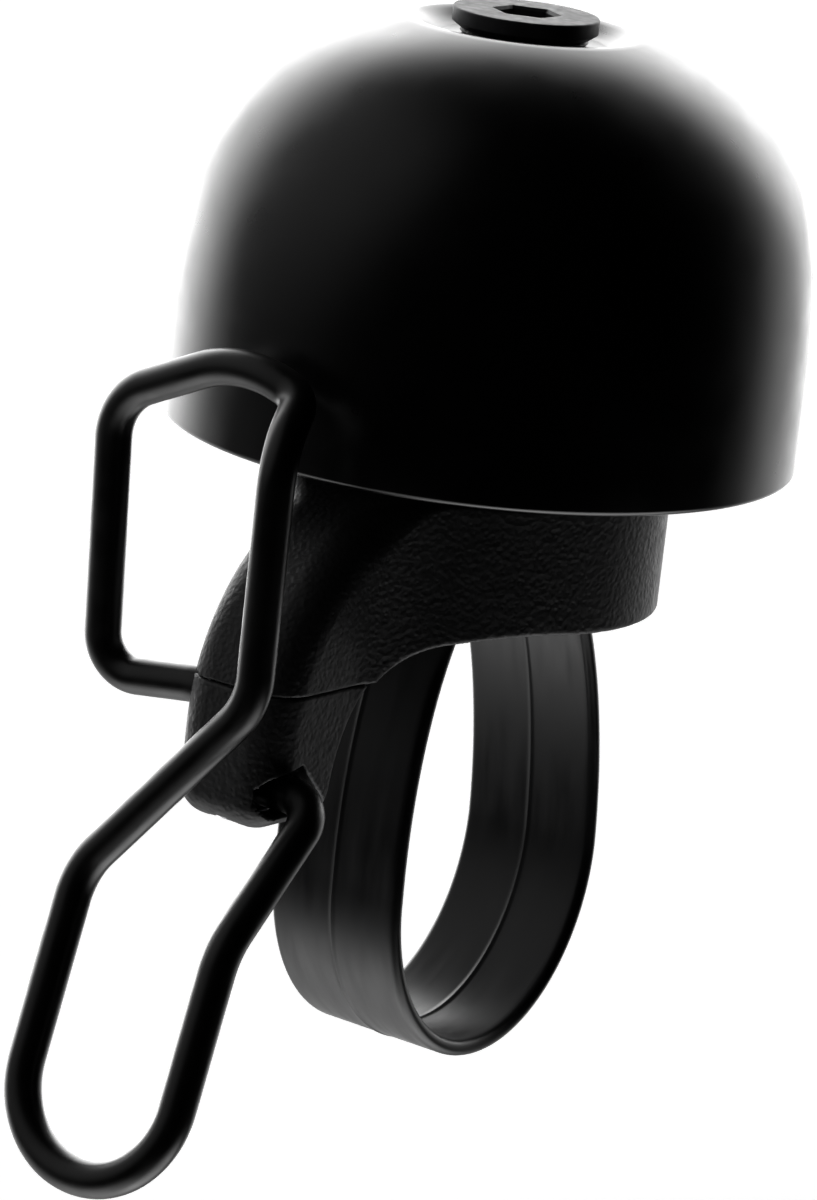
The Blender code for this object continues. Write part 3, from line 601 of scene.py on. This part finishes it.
def make_lever(sides=28):
    """A round wire along the bent path, its ends slightly chamfered."""
    path = bent_path(wire_corners())
    head = [path[0], path[0].lerp(path[1], 0.08)]
    tail = [path[-1].lerp(path[-2], 0.08), path[-1]]
    path = head + path[1:-1] + tail
    verts = []
    faces = []
    normal = Vector((0, 0, 1))
    for i, place in enumerate(path):
        run = (path[min(i + 1, len(path) - 1)] - path[max(i - 1, 0)]).normalized()
        normal = (normal - run * normal.dot(run)).normalized()
        other = run.cross(normal)
        radius = WIRE_RADIUS - (WIRE_CHAMFER if i in (0, len(path) - 1) else 0)
        for side in range(sides):
            angle = 2 * math.pi * side / sides
            verts.append(place + radius * (math.cos(angle) * normal + math.sin(angle) * other))
    for i in range(len(path) - 1):
        for side in range(sides):
            after = (side + 1) % sides
            a, b = i * sides, (i + 1) * sides
            faces.append((a + side, a + after, b + after, b + side))
    faces.append(list(range(sides))[::-1])
    faces.append([(len(path) - 1) * sides + side for side in range(sides)])
    return sharpen(add_mesh("lever", verts, faces), 50)


# ---------------------------------------------------------------- materials

class Finish:
    """A Principled material whose textures lie in the object's own space."""

    def __init__(self, name, colour, roughness, metallic=0.0, specular=0.5):
        self.material = bpy.data.materials.new(name)
        self.material.use_nodes = True
        self.tree = self.material.node_tree
        self.shader = self.tree.nodes["Principled BSDF"]
        self.shader.inputs["Base Color"].default_value = (*colour, 1.0)
        self.shader.inputs["Roughness"].default_value = roughness
        self.shader.inputs["Metallic"].default_value = metallic
        self.shader.inputs["Specular IOR Level"].default_value = specular
        self.place = self.tree.nodes.new("ShaderNodeTexCoord").outputs["Object"]
        self.normal = None

    def link(self, start, end):
        self.tree.links.new(start, end)

    def stretched(self, scale):
        """The object's space stretched along an axis, for brushed or drawn marks."""
        mapping = self.tree.nodes.new("ShaderNodeMapping")
        mapping.inputs["Scale"].default_value = scale
        self.link(self.place, mapping.inputs["Vector"])
        return mapping.outputs["Vector"]

    def noise(self, scale, detail=3.0, stretch=None):
        node = self.tree.nodes.new("ShaderNodeTexNoise")
        node.inputs["Scale"].default_value = scale
        node.inputs["Detail"].default_value = detail
        self.link(self.stretched(stretch) if stretch else self.place, node.inputs["Vector"])
        return node.outputs["Fac"]

    def cells(self, scale):
        node = self.tree.nodes.new("ShaderNodeTexVoronoi")
        node.feature = "SMOOTH_F1"
        node.inputs["Scale"].default_value = scale
        self.link(self.place, node.inputs["Vector"])
        return node.outputs["Distance"]

    def ranged(self, value, low, high, start=0.3, end=0.7):
        node = self.tree.nodes.new("ShaderNodeMapRange")
        node.inputs["From Min"].default_value = start
        node.inputs["From Max"].default_value = end
        node.inputs["To Min"].default_value = low
        node.inputs["To Max"].default_value = high
        self.link(value, node.inputs["Value"])
        return node.outputs["Result"]

    def vary_roughness(self, value, low, high):
        self.link(self.ranged(value, low, high), self.shader.inputs["Roughness"])

    def vary_colour(self, value, dark, light):
        node = self.tree.nodes.new("ShaderNodeMix")
        node.data_type = "RGBA"
        node.inputs["A"].default_value = (*dark, 1.0)
        node.inputs["B"].default_value = (*light, 1.0)
        self.link(self.ranged(value, 0.0, 1.0), node.inputs["Factor"])
        self.link(node.outputs["Result"], self.shader.inputs["Base Color"])

    def bump(self, value, strength, depth):
        node = self.tree.nodes.new("ShaderNodeBump")
        node.inputs["Strength"].default_value = strength
        node.inputs["Distance"].default_value = depth
        self.link(value, node.inputs["Height"])
        if self.normal:
            self.link(self.normal, node.inputs["Normal"])
        self.normal = node.outputs["Normal"]
        self.link(self.normal, self.shader.inputs["Normal"])


def dome_paint():
    """Satin black paint over spun metal: faint lathe rings under a fine orange peel."""
    finish = Finish("dome_paint", (0.004, 0.004, 0.0045), 0.3)
    finish.vary_roughness(finish.noise(260, 4), 0.27, 0.34)
    finish.bump(finish.noise(90, 2, (1, 1, 26)), 0.05, 0.02 * MM)
    finish.bump(finish.noise(2600, 2), 0.06, 0.01 * MM)
    return finish.material


def black_oxide():
    """Blackened steel with turned marks and rubbed, lighter patches."""
    finish = Finish("black_oxide_steel", (0.03, 0.03, 0.031), 0.55, specular=0.22)
    finish.vary_colour(finish.noise(700, 5), (0.024, 0.024, 0.026), (0.05, 0.05, 0.053))
    finish.vary_roughness(finish.noise(1500, 3), 0.48, 0.62)
    finish.bump(finish.noise(900, 3, (1, 1, 30)), 0.2, 0.01 * MM)
    finish.bump(finish.noise(3500, 3), 0.2, 0.012 * MM)
    return finish.material


def moulded_nylon():
    """Spark-eroded grain: shallow rounded cells with finer noise between them."""
    finish = Finish("moulded_nylon", (0.03, 0.03, 0.031), 0.55, specular=0.45)
    finish.vary_colour(finish.noise(300, 3), (0.026, 0.026, 0.027), (0.036, 0.036, 0.037))
    finish.vary_roughness(finish.noise(1200, 3), 0.5, 0.62)
    finish.bump(finish.cells(2600), 0.9, 0.06 * MM)
    finish.bump(finish.noise(3600, 3), 0.6, 0.05 * MM)
    return finish.material


def strap_nylon():
    """Smooth satin plastic, with the flow marks that run round the loop."""
    finish = Finish("strap_nylon", (0.02, 0.02, 0.021), 0.36)
    finish.vary_colour(finish.noise(120, 3), (0.016, 0.016, 0.017), (0.026, 0.026, 0.027))
    finish.vary_roughness(finish.noise(160, 4, (6, 1, 1)), 0.3, 0.44)
    finish.bump(finish.noise(420, 3, (8, 1, 1)), 0.14, 0.02 * MM)
    finish.bump(finish.noise(3800, 2), 0.08, 0.01 * MM)
    return finish.material


def coated_wire():
    """Satin black powder coat, slightly uneven over the wire."""
    finish = Finish("coated_wire", (0.010, 0.0095, 0.0095), 0.34)
    finish.vary_roughness(finish.noise(500, 3), 0.29, 0.4)
    finish.bump(finish.noise(420, 2), 0.1, 0.03 * MM)
    finish.bump(finish.noise(4200, 2), 0.1, 0.008 * MM)
    return finish.material


def zinc_steel():
    finish = Finish("zinc_steel", (0.6, 0.61, 0.63), 0.34, 1.0)
    finish.vary_colour(finish.noise(260, 4), (0.5, 0.51, 0.52), (0.66, 0.67, 0.68))
    finish.vary_roughness(finish.noise(900, 4), 0.26, 0.44)
    finish.bump(finish.noise(2600, 3), 0.08, 0.01 * MM)
    return finish.material


def turned_alloy():
    finish = Finish("turned_alloy", (0.7, 0.7, 0.72), 0.3, 1.0)
    finish.vary_roughness(finish.noise(500, 4, (1, 1, 20)), 0.24, 0.38)
    finish.bump(finish.noise(700, 2, (1, 1, 20)), 0.15, 0.015 * MM)
    return finish.material


def grommet_rubber():
    finish = Finish("grommet_rubber", (0.02, 0.02, 0.02), 0.75, specular=0.35)
    finish.vary_roughness(finish.noise(800, 4), 0.68, 0.85)
    finish.bump(finish.noise(1800, 4), 0.25, 0.03 * MM)
    return finish.material


def put_on(item, made, body, slot, *nodes):
    """Give a piece its material and its body, and let it stand for its CAD nodes."""
    item.data.materials.clear()
    item.data.materials.append(made)
    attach(item, body)
    if nodes:
        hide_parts(*nodes)
    return item


# ---------------------------------------------------------------- camera, light and floor

def make_camera():
    azimuth, elevation, roll = CAMERA_AZIMUTH, CAMERA_ELEVATION, CAMERA_ROLL
    right = Vector((math.cos(azimuth), math.sin(azimuth), 0))
    back = Vector((
        math.sin(azimuth) * math.cos(elevation),
        -math.cos(azimuth) * math.cos(elevation),
        math.sin(elevation)))
    up = back.cross(right)
    across = math.cos(roll) * right + math.sin(roll) * up
    upward = math.cos(roll) * up - math.sin(roll) * right
    camera = bpy.data.objects.new("camera", bpy.data.cameras.new("camera"))
    bpy.context.scene.collection.objects.link(camera)
    place = Matrix((across, upward, back)).transposed().to_4x4()
    place.translation = CAMERA_AIM + back * CAMERA_DISTANCE
    camera.matrix_world = place
    camera.data.lens = CAMERA_LENS
    camera.data.sensor_width = CAMERA_SENSOR
    camera.data.clip_start = 0.01
    camera.data.clip_end = 20.0
    bpy.context.scene.camera = camera


def toward(turn, rise):
    """A direction turned to the camera's right and raised from the level, in degrees."""
    azimuth = CAMERA_AZIMUTH + math.radians(turn)
    rise = math.radians(rise)
    return Vector((
        math.sin(azimuth) * math.cos(rise), -math.cos(azimuth) * math.cos(rise), math.sin(rise)))


def make_world():
    """A dark studio on the camera's side, a white backdrop behind, and soft panels beside it.

    Each glow is (direction, degrees from its middle to full and to nothing, strength).
    """
    glows = [
        (toward(180, 8), 12, 46, 2.4),
        (toward(-150, 8), 14, 44, 3.6),
        (toward(-85, 32), 8, 52, 0.3),
        (toward(148, 22), 8, 26, 2.4),
        (toward(150, -5), 15, 42, 1.1),
        (toward(-130, -55), 20, 50, 0.8),
        (toward(85, -64), 8, 34, 3.0),
        (toward(-60, -72), 12, 38, 1.6),
    ]
    world = bpy.data.worlds.new("studio")
    bpy.context.scene.world = world
    world.use_nodes = True
    tree = world.node_tree
    place = tree.nodes.new("ShaderNodeTexCoord").outputs["Generated"]
    total = None
    for middle, full, none, strength in glows:
        near = tree.nodes.new("ShaderNodeVectorMath")
        near.operation = "DOT_PRODUCT"
        near.inputs[1].default_value = middle
        tree.links.new(place, near.inputs[0])
        ramp = tree.nodes.new("ShaderNodeMapRange")
        ramp.interpolation_type = "SMOOTHSTEP"
        ramp.inputs["From Min"].default_value = math.cos(math.radians(none))
        ramp.inputs["From Max"].default_value = math.cos(math.radians(full))
        ramp.inputs["To Max"].default_value = strength
        tree.links.new(near.outputs["Value"], ramp.inputs["Value"])
        if total is None:
            total = ramp.outputs["Result"]
            continue
        add = tree.nodes.new("ShaderNodeMath")
        add.operation = "ADD"
        tree.links.new(total, add.inputs[0])
        tree.links.new(ramp.outputs["Result"], add.inputs[1])
        total = add.outputs["Value"]
    path = tree.nodes.new("ShaderNodeLightPath")
    pick = tree.nodes.new("ShaderNodeMix")
    pick.inputs["B"].default_value = 1.0
    tree.links.new(path.outputs["Is Camera Ray"], pick.inputs["Factor"])
    tree.links.new(total, pick.inputs["A"])
    tree.links.new(pick.outputs["Result"], tree.nodes["Background"].inputs["Strength"])
    tree.nodes["Background"].inputs["Color"].default_value = (1.0, 1.0, 1.0, 1.0)


def make_floor():
    """A broad pale floor, a little below the bell."""
    bpy.ops.mesh.primitive_plane_add(size=FLOOR_SIZE, location=(0, 0, cad_low.z - FLOOR_DROP))
    floor = bpy.context.object
    floor.name = "floor"
    finish = Finish("floor_white", (0.93, 0.93, 0.93), 0.8, specular=0.2)
    finish.shader.inputs["Emission Color"].default_value = (1.0, 1.0, 1.0, 1.0)
    finish.shader.inputs["Emission Strength"].default_value = FLOOR_GLOW
    floor.data.materials.append(finish.material)
    floor.visible_glossy = False
    floor.visible_diffuse = False


# ---------------------------------------------------------------- the scene

make_camera()
make_world()
make_floor()
bpy.context.scene.view_settings.view_transform = "Standard"

body_low, body_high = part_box("bell_body")
keeper_low, keeper_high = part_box("lever_keeper")
base_radius = body_high.x
front_y = body_low.y
tower_top = body_high.z
seam_z = body_low.z
block_low = keeper_low.z
keeper_top = seam_z - SEAM_GAP

nylon = moulded_nylon()
steel = zinc_steel()

put_on(make_dome(), dome_paint(), "housing", "dome_paint", "bell_dome")
put_on(make_screw(), black_oxide(), "screw", "black_oxide_steel", "dome_screw")
body = surface("body", body_field, body_low, body_high, BODY_CELL)
put_on(body, nylon, "housing", "moulded_nylon", "bell_body")
keeper_reach = Vector((keeper_high.x, keeper_high.y, seam_z))
keeper = surface("keeper", keeper_field, keeper_low, keeper_reach, KEEPER_CELL)
put_on(keeper, nylon, "housing", "moulded_nylon", "lever_keeper")
lever = make_lever()
put_on(lever, coated_wire(), "lever", "coated_wire", "lever_wire")

strap_finish = strap_nylon()
put_on(make_strap(), strap_finish, "clamp", "strap_nylon", "clamp_strap")
root_y = STRAP_ROOT_HALF_SPACING + STRAP_THICKNESS / 2
for name, y in (("strap_eye_front", -root_y), ("strap_eye_rear", root_y)):
    put_on(make_eye(name, y), strap_finish, "clamp", "strap_nylon")

rings = [
    ("washer_under_head", "head_washer", nylon, "moulded_nylon"),
    ("washer_on_post", "post_washer", steel, "zinc_steel"),
    ("sleeve", "post_sleeve", turned_alloy(), "turned_alloy"),
]
for name, node, made, slot in rings:
    put_on(make_ring(name, node, BORE_RADIUS), made, "housing", slot, node)

cad_finish = {"dome_grommet": grommet_rubber(), "guide_cap": nylon, "clamp_carriage": nylon}
for name in ("clamp_nut", "keeper_screw", "strap_pin_front", "strap_pin_rear"):
    cad_finish[name] = steel
for name, made in cad_finish.items():
    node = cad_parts[name]
    node.data.materials.clear()
    node.data.materials.append(made)
